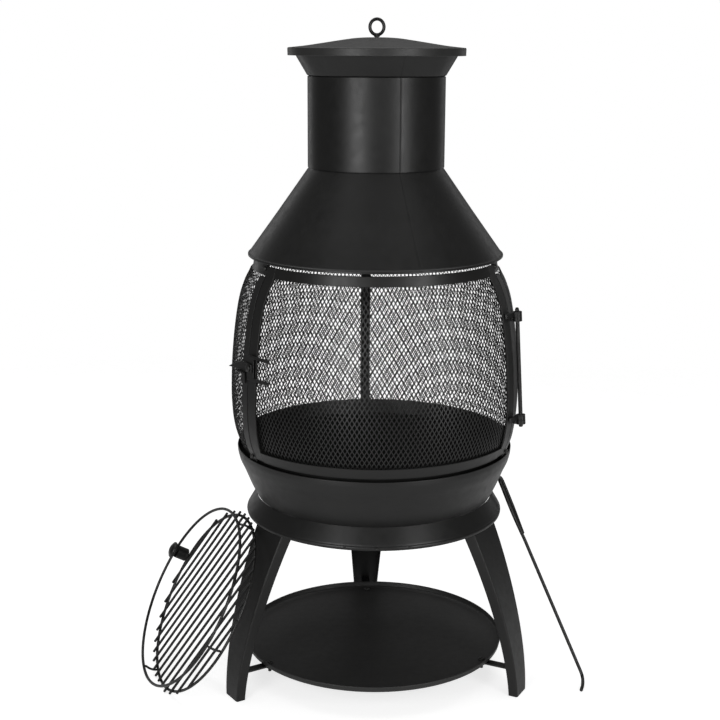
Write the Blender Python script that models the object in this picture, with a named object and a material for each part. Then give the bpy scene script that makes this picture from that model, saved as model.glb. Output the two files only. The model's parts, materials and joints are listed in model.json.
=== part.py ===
"""Steel chiminea: mesh-sided firebox on a three-legged bowl, with a hood, a flue, a lid, a log tray,
a hinged door with a latch, and a lift-out grate and a poker that lean on the stand.
Metres, +Z up, door towards -Y. Everything is laid out round the chiminea's own vertical axis and
then moved by AXIS_AT, so that the origin is under the middle of the whole set."""

import math

import bmesh
import bpy
import numpy as np
from mathutils import Matrix, Vector

AXIS_AT = (0.0253, -0.0209)  # where the chiminea's axis stands in the part's frame
ROUND = 36                   # sides of a full turn
ARC = math.radians(6.0)      # step of the barrel panels
SHEET = 0.0012               # rolled steel sheet
GAP = 0.0004                 # clearance between pieces that touch

# --- the barrel: (height, radius) of the mesh, from the bowl to the hood
BARREL = [(0.4080, 0.2318), (0.4255, 0.2352), (0.4395, 0.2408), (0.4550, 0.2454), (0.4800, 0.2492),
          (0.5150, 0.2508), (0.5600, 0.2496), (0.6050, 0.2463), (0.6500, 0.2408), (0.6850, 0.2342),
          (0.7120, 0.2250), (0.7325, 0.2150), (0.7500, 0.2105)]
MESH_IN, MESH_OUT = -0.0006, 0.0001      # mesh sheet, offsets from the barrel radius
BAR_IN, BAR_OUT = 0.0009, 0.0044         # flat frame bars, the same
POST_LEFT = math.radians(208.5)
POST_RIGHT = math.radians(336.0)
POST_REAR = math.radians(91.0)
POST_HALF = 0.0090
STILE_NEAR, STILE_FAR = 0.0110, 0.0340   # distance of a stile's edges from the post's middle
POST_Z = (0.4090, 0.7325)
PANEL_Z = (0.4260, 0.7320)
DOOR_Z = (0.4255, 0.7500)
RAIL = 0.0165

# --- legs
LEG_AZ = {"front_left": 210.0, "rear": 90.0, "front_right": 330.0}
LEG_R0, LEG_DROP, LEG_POWER, LEG_SPAN = 0.2926, 0.0813, 1.648, 0.300
LEG_HALF = (0.0206, 0.0245)              # half width at the floor, growth over LEG_SPAN
LEG_FLANGE = (0.0160, 0.0060)
LEG_THICK = 0.0025

# --- hinge, latch
HINGE_AZ = math.radians(335.8)
HINGE_LOW = (0.4850, 0.2665)             # height, radius of the pin's line
HINGE_HIGH = (0.6640, 0.2549)
PIN_R, EYE_R, EYE_H = 0.0035, 0.0080, 0.0080
LATCH_AZ = math.radians(213.6)
LATCH_Z = 0.5870

# --- leaning grate
GRATE_AZ, GRATE_LEAN = math.radians(198.8), math.radians(60.5)
GRATE_AT = (-0.3022, -0.0637, 0.1447)
GRATE_R, GRATE_SPACE = 0.1630, 0.0300
GRATE_WIRE, GRATE_BAR, GRATE_BARS = 0.0025, 0.0023, 15
GRATE_BAR_TURN = math.radians(72.0)
GRATE_LINKS = [75.7, 350.0, 255.7]
GRATE_KNOB = 170.0

# --- poker
POKER_WIRE = 0.0030


def clear_scene():
    for obj in list(bpy.data.objects):
        bpy.data.objects.remove(obj, do_unlink=True)


def paint(name, colour, roughness=0.5, metallic=0.35):
    """One painted-steel material per sub-part, named after it."""
    mat = bpy.data.materials.new(name + "_paint")
    mat.use_nodes = True
    shader = mat.node_tree.nodes["Principled BSDF"]
    shader.inputs["Base Color"].default_value = (*colour, 1.0)
    shader.inputs["Roughness"].default_value = roughness
    shader.inputs["Metallic"].default_value = metallic
    mat.diffuse_color = (*colour, 1.0)
    return mat


BLACK = (0.030, 0.030, 0.029)
DARK = (0.018, 0.018, 0.018)
STEEL = (0.060, 0.060, 0.060)


def solid(name, points, faces, colour=BLACK, origin=(0, 0, 0), roughness=0.5, metallic=0.35):
    """A closed mesh object, its faces turned outwards, with its origin at the given point."""
    mesh = bpy.data.meshes.new(name)
    at = Vector(origin)
    mesh.from_pydata([tuple(Vector(p) - at) for p in points], [], faces)
    work = bmesh.new()
    work.from_mesh(mesh)
    bmesh.ops.remove_doubles(work, verts=work.verts, dist=1e-7)
    bmesh.ops.recalc_face_normals(work, faces=work.faces)
    work.to_mesh(mesh)
    work.free()
    obj = bpy.data.objects.new(name, mesh)
    obj.location = at
    bpy.context.scene.collection.objects.link(obj)
    obj.data.materials.append(paint(name, colour, roughness, metallic))
    return obj


def as_cutter(obj):
    obj.hide_render = True
    obj.hide_viewport = False
    obj.display_type = "WIRE"
    return obj


def boolean(obj, other, operation):
    """An exact Boolean with a helper, which is kept out of the render."""
    as_cutter(other)
    step = obj.modifiers.new(operation.lower(), "BOOLEAN")
    step.operation = operation
    step.solver = "EXACT"
    step.object = other
    return obj


def polar(radius, angle, z):
    return Vector((radius * math.cos(angle), radius * math.sin(angle), z))


def lathe(name, loop, sides=ROUND, frame=None, colour=BLACK, origin=(0, 0, 0), **look):
    """Turns a closed (radius, height) loop; radius 0 closes on the axis. The frame places it."""
    frame = frame or Matrix.Identity(4)
    points, rings = [], []
    for radius, height in loop:
        if radius < 1e-9:
            rings.append([len(points)] * sides)
            points.append(frame @ Vector((0, 0, height)))
            continue
        rings.append(list(range(len(points), len(points) + sides)))
        points += [frame @ polar(radius, 2 * math.pi * k / sides, height) for k in range(sides)]
    faces = []
    on_axis = loop[0][0] < 1e-9 and loop[-1][0] < 1e-9
    last = len(loop) - 1 if on_axis else len(loop)
    for i in range(last):
        low, high = rings[i], rings[(i + 1) % len(loop)]
        for k in range(sides):
            j = (k + 1) % sides
            face = [low[k], low[j], high[j], high[k]]
            face = [v for n, v in enumerate(face) if v not in face[:n]]
            if len(face) > 2:
                faces.append(face)
    return solid(name, points, faces, colour, origin, **look)


def shell_loop(outside, thick):
    """Closes an open (radius, height) line into a sheet of the given thickness on its left side."""
    pts = [Vector(p) for p in outside]
    inner = []
    for i, point in enumerate(pts):
        before = (point - pts[i - 1]).normalized() if i else None
        after = (pts[i + 1] - point).normalized() if i + 1 < len(pts) else None
        before, after = before or after, after or before
        across = Vector((-(before + after).y, (before + after).x)).normalized()
        reach = thick / max(0.5, across.dot(Vector((-before.y, before.x))))
        moved = point + across * reach
        inner.append((0.0 if point.x < 1e-9 else max(moved.x, 0.0), moved.y))
    return [tuple(p) for p in pts] + inner[::-1]


def slab(name, outside, inside, colour=BLACK, **more):
    """Closes two matching point grids into one curved plate."""
    rows, columns = len(outside), len(outside[0])
    count = rows * columns
    points = [p for row in outside for p in row] + [p for row in inside for p in row]

    def at(i, j, side):
        return side * count + i * columns + j

    faces = []
    for i in range(rows - 1):
        for j in range(columns - 1):
            faces.append([at(i, j, 0), at(i, j + 1, 0), at(i + 1, j + 1, 0), at(i + 1, j, 0)])
            faces.append([at(i, j, 1), at(i + 1, j, 1), at(i + 1, j + 1, 1), at(i, j + 1, 1)])
    for i in range(rows - 1):
        for j in (0, columns - 1):
            faces.append([at(i, j, 0), at(i + 1, j, 0), at(i + 1, j, 1), at(i, j, 1)])
    for j in range(columns - 1):
        for i in (0, rows - 1):
            faces.append([at(i, j, 0), at(i, j + 1, 0), at(i, j + 1, 1), at(i, j, 1)])
    return solid(name, points, faces, colour, **more)


def tube(name, path, radius, sides=8, closed=False, colour=BLACK, origin=(0, 0, 0), **look):
    """Sweeps a circle along a path of points, with flat ends unless it is closed."""
    path = [Vector(p) for p in path]
    count = len(path)
    tangents = []
    for i in range(count):
        before, after = path[i - 1], path[(i + 1) % count]
        if not closed and i == 0:
            before = path[0]
        if not closed and i == count - 1:
            after = path[-1]
        tangents.append((after - before).normalized())
    side = tangents[0].orthogonal().normalized()
    frames = []
    for tangent in tangents:
        side = (side - tangent * side.dot(tangent)).normalized()
        frames.append((side, tangent.cross(side)))
    if closed:
        back = frames[-1][0] - tangents[0] * frames[-1][0].dot(tangents[0])
        twist = math.atan2(back.dot(frames[0][1]), back.dot(frames[0][0]))
        frames = [(s * math.cos(-twist * i / count) + t * math.sin(-twist * i / count),
                   t * math.cos(-twist * i / count) - s * math.sin(-twist * i / count))
                  for i, (s, t) in enumerate(frames)]
    points = []
    for point, (one, two) in zip(path, frames):
        for k in range(sides):
            turn = 2 * math.pi * k / sides
            points.append(point + (one * math.cos(turn) + two * math.sin(turn)) * radius)
    faces = []
    for i in range(count if closed else count - 1):
        for k in range(sides):
            j, n = (k + 1) % sides, (i + 1) % count
            faces.append([i * sides + k, i * sides + j, n * sides + j, n * sides + k])
    if not closed:
        faces += [list(range(sides)), list(range((count - 1) * sides, count * sides))]
    return solid(name, points, faces, colour, origin, **look)


def axes_at(origin, along, across=None):
    """A frame whose Z runs along a direction and whose X is nearest the second one."""
    along = Vector(along).normalized()
    across = Vector(across) if across is not None else along.orthogonal()
    across = (across - along * across.dot(along)).normalized()
    side = along.cross(across)
    frame = Matrix((across, side, along)).transposed().to_4x4()
    frame.translation = Vector(origin)
    return frame


def rod(name, start, end, radius, sides=8, **more):
    length = (Vector(end) - Vector(start)).length
    frame = axes_at(start, Vector(end) - Vector(start))
    return lathe(name, [(0, 0), (radius, 0), (radius, length), (0, length)], sides, frame, **more)


def block(name, frame, low, high, colour=BLACK, **more):
    """A box between two corners in a frame."""
    points = [frame @ Vector((x, y, z)) for x in (low[0], high[0]) for y in (low[1], high[1])
              for z in (low[2], high[2])]
    faces = [[0, 1, 3, 2], [4, 6, 7, 5], [0, 4, 5, 1], [2, 3, 7, 6], [0, 2, 6, 4], [1, 5, 7, 3]]
    return solid(name, points, faces, colour, **more)


def prism(name, frame, outline, low, high, colour=BLACK, **more):
    """Extrudes a flat outline, given in a frame's XY, along its Z."""
    count = len(outline)
    points = [frame @ Vector((x, y, z)) for z in (low, high) for x, y in outline]
    faces = [list(range(count))[::-1], list(range(count, 2 * count))]
    faces += [[k, (k + 1) % count, count + (k + 1) % count, count + k] for k in range(count)]
    return solid(name, points, faces, colour, **more)


def drill(obj, point, along, radius, reach):
    """A round clearance hole through one piece."""
    along = Vector(along).normalized()
    middle = Vector(point)
    cutter = rod(obj.name + "_hole", middle - along * reach, middle + along * reach, radius, 12)
    return boolean(obj, cutter, "DIFFERENCE")


def bolt(name, point, along, head_r, head_h, shank_r, shank, sides=12, colour=DARK, **more):
    """A domed head standing on a face at the point, its shank running the other way."""
    frame = axes_at(point, along)
    loop = [(0, -shank), (shank_r, -shank), (shank_r, GAP), (head_r, GAP),
            (head_r, GAP + head_h * 0.45), (head_r * 0.62, GAP + head_h * 0.88), (0, GAP + head_h)]
    return lathe(name, loop, sides, frame, colour=colour, **more)


def nut(name, frame, low, high, radius, bore, **more):
    """A hexagon nut along a frame's Z, with a clearance bore."""
    corners = [(radius * math.cos(k * math.pi / 3), radius * math.sin(k * math.pi / 3))
               for k in range(6)]
    piece = prism(name, frame, corners, low, high, DARK, **more)
    along = frame.col[2].to_3d()
    return drill(piece, frame @ Vector((0, 0, (low + high) / 2)), along, bore, 0.0100)


def barrel(z):
    heights = [p[0] for p in BARREL]
    return float(np.interp(z, heights, [p[1] for p in BARREL]))


def levels(low, high):
    return [low] + [z for z, _ in BARREL if low + 0.004 < z < high - 0.004] + [high]


def barrel_strip(name, middle, near, far, low, high, **more):
    """A flat bar that follows the barrel upwards, between two distances sideways of an azimuth."""
    grids = ([], [])
    for z in levels(low, high):
        for grid, offset in zip(grids, (BAR_OUT, BAR_IN)):
            radius = barrel(z) + offset
            grid.append([polar(radius, middle + s / barrel(z), z)
                         for s in np.linspace(near, far, 3)])
    return slab(name, *grids, **more)


def barrel_sheet(name, start, end, low, high, inner, outer, **more):
    """A sheet on the barrel. start and end are (azimuth, sideways distance); rows share the grid."""
    grids = ([], [])
    for z in levels(low, high):
        first = start[0] + start[1] / barrel(z)
        final = end[0] + end[1] / barrel(z)
        steps = max(1, round((end[0] - start[0]) / ARC))
        turns = [first + (final - first) * k / steps for k in range(steps + 1)]
        for grid, offset in zip(grids, (outer, inner)):
            grid.append([polar(barrel(z) + offset, turn, z) for turn in turns])
    return slab(name, *grids, **more)


def ring_band(name, start, end, line, thick, step=ARC, **more):
    """Part of a turned sheet: the (radius, height) line swept from one azimuth to another."""
    loop = shell_loop(line, thick)
    half = len(line)
    steps = max(1, round((end - start) / step))
    turns = [start + (end - start) * k / steps for k in range(steps + 1)]
    outside = [[polar(r, t, z) for t in turns] for r, z in loop[:half]]
    inside = [[polar(r, t, z) for t in turns] for r, z in loop[half:][::-1]]
    return slab(name, outside, inside, **more)


# --------------------------------------------------------------------------- the stand

def leg_radius(z):
    return LEG_R0 - LEG_DROP * (max(z, 0.0) / LEG_SPAN) ** LEG_POWER


def make_leg(place, azimuth):
    """A tapered channel, web outwards, curving in to the bowl. Its top follows the bowl's underside."""
    angle = math.radians(azimuth)
    out, side = polar(1, angle, 0), polar(1, angle + math.pi / 2, 0)
    rings = []
    heights = [0.0, 0.045, 0.09, 0.135, 0.18, 0.22, 0.26, 0.2960]
    for step, z in enumerate(heights):
        top = step == len(heights) - 1
        half = LEG_HALF[0] + LEG_HALF[1] * z / LEG_SPAN
        depth = LEG_FLANGE[0] + LEG_FLANGE[1] * z / LEG_SPAN
        section = [(0, -half), (0, half), (-depth, half), (-depth, half - LEG_THICK),
                   (-LEG_THICK, half - LEG_THICK), (-LEG_THICK, LEG_THICK - half),
                   (-depth, LEG_THICK - half), (-depth, -half)]
        ring = []
        for inward, across in section:
            rise = 0.016 * (1 + inward / depth) if top else 0.0
            radius = leg_radius(z + rise)
            ring.append(out * (radius + inward) + side * across + Vector((0, 0, z + rise)))
        rings.append(ring)
    points = [p for ring in rings for p in ring]
    faces = [[0, 1, 4, 5], [1, 2, 3, 4], [0, 5, 6, 7]]
    last = 8 * (len(rings) - 1)
    faces += [[last + v for v in face] for face in faces]
    for i in range(len(rings) - 1):
        for k in range(8):
            j = (k + 1) % 8
            faces.append([8 * i + k, 8 * i + j, 8 * i + 8 + j, 8 * i + 8 + k])
    solid("leg_" + place, points, faces)


RING_LINE = [(0.2265, 0.2975), (0.2262, 0.3030), (0.2238, 0.3080), (0.2192, 0.3150),
             (0.2140, 0.3225), (0.2092, 0.3315)]
BOWL_LINE = [(0.0, 0.3095), (0.1850, 0.3095), (0.1935, 0.3118), (0.2060, 0.3275),
             (0.2179, 0.3505), (0.2321, 0.3850), (0.2379, 0.3965), (0.2412, 0.4105),
             (0.2424, 0.4183)]


def make_base_ring():
    loop = shell_loop(RING_LINE, SHEET)
    lathe("base_ring", loop)


def make_bowl():
    lathe("fire_bowl", shell_loop(BOWL_LINE, SHEET))


TRAY_LINE = [(0.0, 0.0455), (0.1400, 0.0455), (0.2250, 0.0455), (0.2312, 0.0478), (0.2333, 0.0580)]
TRAY_BOLT_R = 0.2160


def make_tray():
    tray = lathe("log_tray", shell_loop(TRAY_LINE, SHEET))
    for place, azimuth in LEG_AZ.items():
        angle = math.radians(azimuth)
        out, side = polar(1, angle, 0), polar(1, angle + math.pi / 2, 0)
        frame = axes_at((0, 0, 0), (0, 0, 1), out)
        web = leg_radius(0.043) - LEG_THICK - GAP - 0.0006
        bracket = block("tray_bracket_" + place, frame, (0.2060, -0.0080, 0.0420),
                        (web, 0.0080, 0.0455 - GAP), DARK)
        hole = out * TRAY_BOLT_R + Vector((0, 0, 0.0450))
        drill(bracket, hole, (0, 0, 1), 0.0033, 0.0200)
        drill(tray, hole, (0, 0, 1), 0.0033, 0.0200)
        top = out * TRAY_BOLT_R + Vector((0, 0, 0.0455 + SHEET))
        bolt("tray_bolt_" + place, top, (0, 0, 1), 0.0062, 0.0032, 0.0030, 0.0160)
        under = axes_at(out * TRAY_BOLT_R, (0, 0, 1), out)
        nut("tray_nut_" + place, under, 0.0372, 0.0420 - GAP, 0.0062, 0.0033)


# --------------------------------------------------------------------------- the firebox

def make_screen():
    full = 2 * math.pi
    top = [(0.2120, 0.7336), (0.2105, 0.7372), (0.2096, 0.7420), (0.2095, 0.7620)]
    top_band = ring_band("screen_top_band", POST_RIGHT - 0.030, POST_LEFT + full + 0.030, top, SHEET)
    bottom = [(0.2308, 0.4080), (0.2338, 0.4255), (0.2366, 0.4340)]
    band = lathe("screen_bottom_band", shell_loop(bottom, SHEET), 48)
    edge = 0.0036
    barrel_sheet("mesh_panel_right", (POST_RIGHT, edge), (POST_REAR + full, -edge), *PANEL_Z,
                 MESH_IN, MESH_OUT, colour=STEEL)
    barrel_sheet("mesh_panel_left", (POST_REAR, edge), (POST_LEFT, -edge), *PANEL_Z,
                 MESH_IN, MESH_OUT, colour=STEEL)
    for place, middle in (("left", POST_LEFT), ("rear", POST_REAR), ("right", POST_RIGHT)):
        post = barrel_strip("post_" + place, middle, -POST_HALF, POST_HALF, *POST_Z)
        out = polar(1, middle, 0)
        point = polar(barrel(0.4275) + BAR_OUT, middle, 0.4275)
        drill(post, point, out, 0.0028, 0.0120)
        drill(band, point, out, 0.0028, 0.0120)
        bolt("post_bolt_" + place, point + out * 0.0017, out, 0.0042, 0.0028, 0.0024, 0.0095)
        make_hood_bracket(place, middle, out, top_band)


def make_hood_bracket(place, middle, out, band):
    frame = axes_at((0, 0, 0), (0, 0, 1), out)
    inner = 0.2112
    bracket = block("hood_bracket_" + place, frame, (inner, -0.0070, 0.7385),
                    (inner + 0.0022, 0.0070, 0.7565), DARK)
    point = out * (inner + 0.0022) + Vector((0, 0, 0.7455))
    drill(bracket, point, out, 0.0024, 0.0090)
    drill(band, point, out, 0.0024, 0.0090)
    bolt("hood_bolt_" + place, point, out, 0.0042, 0.0030, 0.0021, 0.0065)


# --------------------------------------------------------------------------- hood, flue, lid

HOOD_LINE = [(0.2197, 0.7545), (0.2197, 0.7575), (0.2165, 0.7590), (0.1665, 0.8290),
             (0.1165, 0.9000), (0.1142, 0.9030), (0.1142, 0.9200)]
FLUE_LINE = [(0.1160, 0.9040), (0.1160, 1.0540)]
COLLAR_LINE = [(0.1142, 1.0380), (0.1142, 1.0550), (0.1166, 1.0560), (0.1300, 1.0785),
               (0.1418, 1.0985)]
LID_LINE = [(0.1493, 1.0892), (0.1493, 1.1003), (0.1480, 1.1010), (0.1200, 1.1038),
            (0.0590, 1.1133), (0.0380, 1.1163), (0.0200, 1.1175), (0.0, 1.1178)]


def make_upper_works():
    lathe("hood_cone", shell_loop(HOOD_LINE, SHEET))
    lathe("flue_pipe", shell_loop(FLUE_LINE, SHEET))
    lathe("flue_collar", shell_loop(COLLAR_LINE, SHEET))


LID_NECK = 0.0030


def make_lid():
    at = (0, 0, 1.0892)
    lid = lathe("lid_cap", shell_loop(LID_LINE, SHEET), origin=at)
    drill(lid, (0, 0, 1.1170), (0, 0, 1), LID_NECK + 0.0003, 0.0100)
    wire, wide, tall, middle = 0.00275, 0.0117, 0.01275, 1.13450
    loop = [(wide * math.cos(t), 0, middle + tall * math.sin(t))
            for t in np.linspace(0, 2 * math.pi, 25)[:-1]]
    ring = tube("lid_ring", loop, wire, 8, True, origin=at)
    neck = lathe("lid_ring_neck", [(0, 1.1120), (LID_NECK, 1.1120), (LID_NECK, 1.1182),
                                   (0.0050, 1.1182), (0.0046, 1.1205), (0.0026, 1.1228),
                                   (0, 1.1228)], 12)
    boolean(ring, neck, "UNION")
    nut("lid_nut", Matrix.Identity(4), 1.1117, 1.1160, 0.0070, LID_NECK + 0.0003, origin=at)


# --------------------------------------------------------------------------- door and hinge

def hinge_line():
    low = polar(HINGE_LOW[1], HINGE_AZ, HINGE_LOW[0])
    high = polar(HINGE_HIGH[1], HINGE_AZ, HINGE_HIGH[0])
    return low, (high - low).normalized()


def hinge_frame(height):
    """Z up the pin, X outwards, Y round the barrel, at the point of the pin at this height."""
    low, along = hinge_line()
    point = low + along * ((height - low.z) / along.z)
    return axes_at(point, along, polar(1, HINGE_AZ, 0))


def eye(name, frame, arm, colour=DARK, origin=(0, 0, 0)):
    """A flat plate with a round eye for the pin and an arm whose outline is given."""
    piece = lathe(name, [(0, 0), (EYE_R, 0), (EYE_R, EYE_H), (0, EYE_H)], 16, frame,
                  colour=colour, origin=origin)
    boolean(piece, prism(name + "_arm", frame, arm, 0.0003, EYE_H - 0.0003), "UNION")
    low, high = frame @ Vector((0, 0, -0.004)), frame @ Vector((0, 0, EYE_H + 0.004))
    boolean(piece, rod(name + "_bore", low, high, PIN_R + 0.0003, 16), "DIFFERENCE")
    return piece


def make_hinge(origin):
    for place, height in (("bottom", 0.4790), ("top", 0.6560)):
        frame = hinge_frame(height)
        face = HINGE_LOW[1] if place == "bottom" else HINGE_HIGH[1]
        centre = frame.translation
        radius = math.hypot(centre.x, centre.y)
        reach = radius - (barrel(height + 0.004) + BAR_OUT) - GAP - 0.0006
        eye("hinge_lug_" + place, frame,
            [(-reach, -0.0050), (-0.0020, -0.0050), (-0.0020, 0.0050), (-reach, 0.0050)])
        frame = hinge_frame(height + EYE_H + GAP)
        centre = frame.translation
        radius = math.hypot(centre.x, centre.y)
        reach = radius - (barrel(height + 0.012) + BAR_OUT)
        back = reach - 0.0010
        eye("knuckle_" + place, frame,
            [(-EYE_R, 0.0), (-EYE_R, -0.0145), (-back, -0.0160), (-back - 0.0002, -0.0300),
             (-back + 0.0030, -0.0300), (-EYE_R + 0.0034, -0.0160), (-EYE_R + 0.0060, 0.0)],
            origin=origin)
    low, along = hinge_line()
    frame = hinge_frame(0.4740)
    length = (0.6790 - 0.4740) / along.z
    loop = [(0, 0), (PIN_R, 0), (PIN_R, length - 0.0020), (0.0022, length), (0, length + 0.0004)]
    lathe("hinge_rod", loop, 16, frame, colour=STEEL)


def make_door(origin):
    low, high = DOOR_Z
    barrel_strip("door_latch_stile", POST_LEFT, STILE_NEAR, STILE_FAR, low, high, origin=origin)
    barrel_strip("door_hinge_stile", POST_RIGHT, -STILE_FAR, -STILE_NEAR, low, high, origin=origin)
    left = (POST_LEFT, STILE_FAR + GAP)
    right = (POST_RIGHT, -STILE_FAR - GAP)
    barrel_sheet("door_bottom_rail", left, right, low, low + RAIL, BAR_IN, BAR_OUT, origin=origin)
    barrel_sheet("door_top_rail", left, right, high - RAIL, high, BAR_IN, BAR_OUT, origin=origin)
    barrel_sheet("door_mesh", (POST_LEFT, 0.0130), (POST_RIGHT, -0.0130), low + 0.001,
                 high - 0.001, MESH_IN, MESH_OUT, colour=STEEL, origin=origin)


def latch_frame():
    """X outwards, Y along the lever towards its tip, Z up, at the pivot on the stile's face."""
    face = barrel(0.5640) + BAR_OUT
    return axes_at(polar(face, LATCH_AZ, LATCH_Z), (0, 0, 1), polar(1, LATCH_AZ, 0))


def make_latch(door_origin):
    frame = latch_frame()
    across = Matrix.Rotation(math.pi / 2, 4, "Y")
    # outlines below are (along the barrel, up); the tip of the lever points along -Y of the frame
    plate = Matrix(((0, 0, 1, 0), (1, 0, 0, 0), (0, 1, 0, 0), (0, 0, 0, 1)))
    turn = frame @ plate
    outline = [(-0.0100, -0.0215), (0.0300, -0.0215), (0.0300, -0.0155), (0.0100, -0.0155),
               (0.0100, 0.0155), (0.0300, 0.0155), (0.0300, 0.0215), (-0.0100, 0.0215)]
    bracket = prism("latch_bracket", turn, outline, 0.0012, 0.0030, DARK, origin=door_origin)
    pivot = frame.translation
    out = polar(1, LATCH_AZ, 0)
    drill(bracket, pivot, out, 0.0033, 0.0200)
    outline = [(0.0085, -0.0075), (0.0085, 0.0075), (-0.0260, 0.0085), (-0.0440, 0.0070),
               (-0.0600, 0.0010), (-0.0610, -0.0010), (-0.0430, -0.0040), (-0.0260, -0.0075)]
    lever = prism("latch_lever", turn, outline, 0.0034, 0.0060, BLACK,
                  origin=pivot + out * 0.0047)
    drill(lever, pivot, out, 0.0033, 0.0200)
    bolt("latch_pivot", pivot + out * 0.0060, out, 0.0060, 0.0032, 0.0030, 0.0048,
         origin=door_origin)
    # a rest on the left post, just under the lever
    face = barrel(0.5560) + BAR_OUT + 2 * GAP
    rest = axes_at(polar(face, POST_LEFT, LATCH_Z), (0, 0, 1), polar(1, POST_LEFT, 0))
    outline = [(0.0, -0.0300), (0.0022, -0.0300), (0.0022, -0.0125), (0.0120, -0.0095),
               (0.0120, -0.0080), (0.0, -0.0080)]
    upright = Matrix(((1, 0, 0, 0), (0, 0, -1, 0), (0, 1, 0, 0), (0, 0, 0, 1)))
    prism("latch_rest", rest @ upright, outline, -0.0060, 0.0060, DARK)


# --------------------------------------------------------------------------- loose pieces

def grate_frame():
    normal = Vector((math.sin(GRATE_LEAN) * math.cos(GRATE_AZ),
                     math.sin(GRATE_LEAN) * math.sin(GRATE_AZ), math.cos(GRATE_LEAN)))
    level = Vector((0, 0, 1)).cross(normal).normalized()
    return axes_at(GRATE_AT, normal, level)


def make_grate():
    frame = grate_frame()
    at = frame.translation

    def spot(turn, height, radius=GRATE_R):
        return frame @ Vector((radius * math.cos(turn), radius * math.sin(turn), height))

    def circle(height):
        return [spot(2 * math.pi * k / 40, height) for k in range(40)]

    bars = tube("grate_bars", circle(0.0), GRATE_WIRE, 6, True, origin=at)
    along = Vector((math.cos(GRATE_BAR_TURN), math.sin(GRATE_BAR_TURN), 0))
    across = Vector((-along.y, along.x, 0))
    spacing = 2 * GRATE_R / (GRATE_BARS + 0.6)
    for k in range(GRATE_BARS):
        offset = (k - (GRATE_BARS - 1) / 2) * spacing
        half = math.sqrt(GRATE_R ** 2 - offset ** 2) + 0.0075
        middle = across * offset + Vector((0, 0, 0.0034))
        low, high = frame @ (middle - along * half), frame @ (middle + along * half)
        if low.z < GRATE_BAR:
            low = low.lerp(high, (GRATE_BAR - low.z) / (high.z - low.z))
        bar = rod(f"grate_bar_{k:02d}", low, high, GRATE_BAR, 6)
        boolean(bars, bar, "UNION")
    tube("grate_stand_ring", circle(GRATE_SPACE), GRATE_WIRE, 6, True, origin=at)
    near = GRATE_WIRE + GAP
    for k, turn in enumerate(GRATE_LINKS):
        turn = math.radians(turn)
        rod(f"grate_link_{k + 1}", spot(turn, near), spot(turn, GRATE_SPACE - near), 0.0020, 8,
            origin=at)
    turn = math.radians(GRATE_KNOB)
    place = axes_at(spot(turn, 0, GRATE_R), frame.col[2].to_3d())
    lathe("grate_spacer", [(0, 0.0062), (0.0118, 0.0062), (0.0118, GRATE_SPACE - near),
                           (0, GRATE_SPACE - near)], 16, place, colour=DARK, origin=at)
    top = GRATE_SPACE + near
    lathe("grate_knob", [(0, top), (0.0145, top), (0.0150, top + 0.0030), (0.0110, top + 0.0062),
                         (0, top + 0.0078)], 16, place, colour=STEEL, origin=at)


POKER_BEND = (0.3680, -0.1120, 0.0135)
POKER_TOP = (0.2242, -0.0010, 0.3475)
POKER_TIP = (0.3590, -0.1460, 0.0033)


def make_poker():
    bend, top, tip = Vector(POKER_BEND), Vector(POKER_TOP), Vector(POKER_TIP)
    along = (top - bend).normalized()
    side = Vector((0.25, 0.95, 0.0))
    side = (side - along * side.dot(along)).normalized()
    bow = 0.0105
    path = [tip, tip.lerp(bend, 0.45) + Vector((0.002, 0, -0.0018)), bend,
            bend + along * 0.02, top - along * 0.110, top - along * 0.085]
    neck = top - along * 0.085
    path += [neck + along * 0.012 - side * 0.003, neck + along * 0.030 - side * 0.006,
             top - along * (bow + 0.006)]
    centre = top - along * bow + side * bow
    for step in range(1, 8):
        turn = math.pi * step / 8
        path.append(centre - side * bow * math.cos(turn) + along * bow * math.sin(turn))
    path += [centre + side * bow - along * 0.004, neck + along * 0.040 + side * 0.0190,
             neck + along * 0.014 + side * 0.0105]
    tube("poker", path, POKER_WIRE, 8, origin=top)


def place_all():
    for obj in bpy.data.objects:
        if obj.parent is None:
            obj.location += Vector((*AXIS_AT, 0.0))


def main():
    clear_scene()
    for place, azimuth in LEG_AZ.items():
        make_leg(place, azimuth)
    make_base_ring()
    make_bowl()
    make_tray()
    make_screen()
    make_upper_works()
    make_lid()
    origin = hinge_frame(0.4850).translation
    make_hinge(origin)
    make_door(origin)
    make_latch(origin)
    make_grate()
    make_poker()
    place_all()


main()
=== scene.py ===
"""Looks of the steel chiminea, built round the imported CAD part: smooth turned sheets with hems and
seams, real expanded-metal mesh, folded legs, welded wire, and black heat-proof paint.
Metres, +Z up, door towards -Y. Pieces are laid out round the chiminea's own vertical axis and moved
to where the CAD model has it."""

import json
import math

import bmesh
import bpy
import numpy as np
from mathutils import Matrix, Vector

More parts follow.
